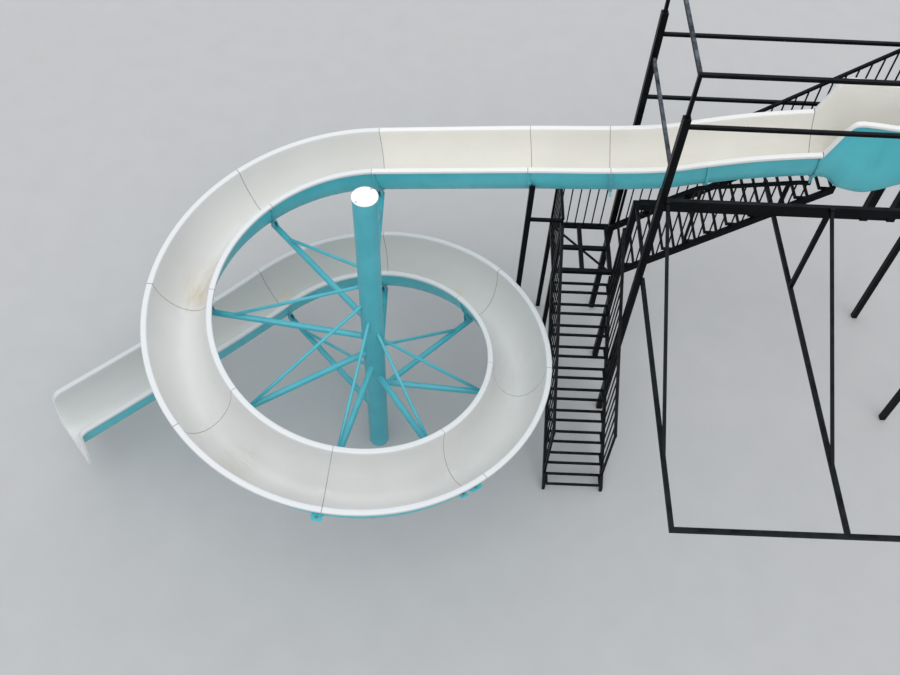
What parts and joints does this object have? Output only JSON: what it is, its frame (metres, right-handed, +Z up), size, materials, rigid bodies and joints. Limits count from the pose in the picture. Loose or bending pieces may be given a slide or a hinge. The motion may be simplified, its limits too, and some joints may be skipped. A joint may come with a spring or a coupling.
{
  "type": "water slide tower",
  "caption": "Open water slide flume that starts in a tub on a square-tube stair tower, winds around a round column on strut arms and ends in a straight run-out",
  "frame": {"origin": "On the ground, in the middle of the underside of the central column base plate.", "axes": "+Z is up. +X points from the column towards the stair tower, along the tower. +Y points across the tower, away from the canopy frame."},
  "size_m": [11.955, 5.305, 6.2],
  "materials": {
    "flume": "glass-fibre shell, teal gelcoat outside, cream inside, white rim, weathered and stained",
    "column_paint": "satin teal paint, worn",
    "black_steel": "satin black paint with rust at the joints",
    "cap": "white paint, chipped at the edge"
  },
  "bodies": {
    "root": {"bend_1": "flume", "bend_2": "flume", "bend_3": "flume", "bend_4": "flume", "bend_5": "flume", "bend_6": "flume", "bend_7": "flume", "bend_8": "flume", "bend_9": "flume", "straight_1": "flume", "straight_2": "flume", "straight_3": "flume", "start_tub": "flume", "run_out": "flume", "central_column": "column_paint", "arm_1": "column_paint", "arm_2": "column_paint", "arm_3": "column_paint", "arm_4": "column_paint", "arm_5": "column_paint", "arm_6": "column_paint", "arm_7": "column_paint", "arm_8": "column_paint", "arm_9": "column_paint", "arm_10": "column_paint", "front_left_post": "black_steel", "middle_left_post": "black_steel", "back_left_post": "black_steel", "front_right_post": "black_steel", "back_right_post": "black_steel", "front_beam": "black_steel", "back_beam": "black_steel", "front_guard_rail": "black_steel", "front_top_rail": "black_steel", "back_guard_rail": "black_steel", "back_top_rail": "black_steel", "left_side_rail": "black_steel", "left_top_rail": "black_steel", "right_side_rail": "black_steel", "right_guard_rail": "black_steel", "right_top_rail": "black_steel", "side_brace": "black_steel", "deck": "black_steel", "canopy_frame": "black_steel", "lower_flight": "black_steel", "landing": "black_steel", "upper_flight": "black_steel", "lower_left_railing": "black_steel", "lower_right_railing": "black_steel", "landing_left_railing": "black_steel", "landing_back_railing": "black_steel", "upper_near_railing": "black_steel", "upper_far_railing": "black_steel", "straight_leg": "black_steel", "tub_support": "black_steel", "column_cap": "cap"}
  },
  "joints": []
}
